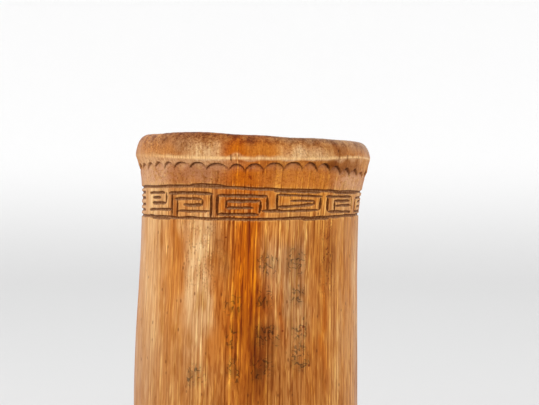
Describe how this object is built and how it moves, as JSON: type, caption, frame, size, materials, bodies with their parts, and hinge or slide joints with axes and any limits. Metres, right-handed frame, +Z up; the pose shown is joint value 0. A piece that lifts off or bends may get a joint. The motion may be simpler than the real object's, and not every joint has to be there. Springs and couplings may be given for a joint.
{
  "type": "brush holder pot",
  "caption": "Tall bamboo brush pot: a carved length of culm with a thick rounded lip, a notched border, a key-fret band and a pegged-in floor.",
  "frame": {"origin": "on the surface that the pot stands on, under the middle of the pot's bounding box", "axes": "+Z up, along the culm; -Y is the front, where the worn writing was; +X is the front's right"},
  "size_m": [0.1127, 0.1118, 0.165],
  "materials": {
    "stained_bamboo": "old bamboo, stained amber and polished by handling, with vertical fibres",
    "floor_wood": "dull brown wood, planed across the grain",
    "peg_bamboo": "split bamboo, end grain showing"
  },
  "bodies": {
    "root": {"culm_wall": "stained_bamboo", "floor_disc": "floor_wood", "floor_peg_1": "peg_bamboo", "floor_peg_2": "peg_bamboo", "floor_peg_3": "peg_bamboo", "floor_peg_4": "peg_bamboo"}
  },
  "joints": []
}
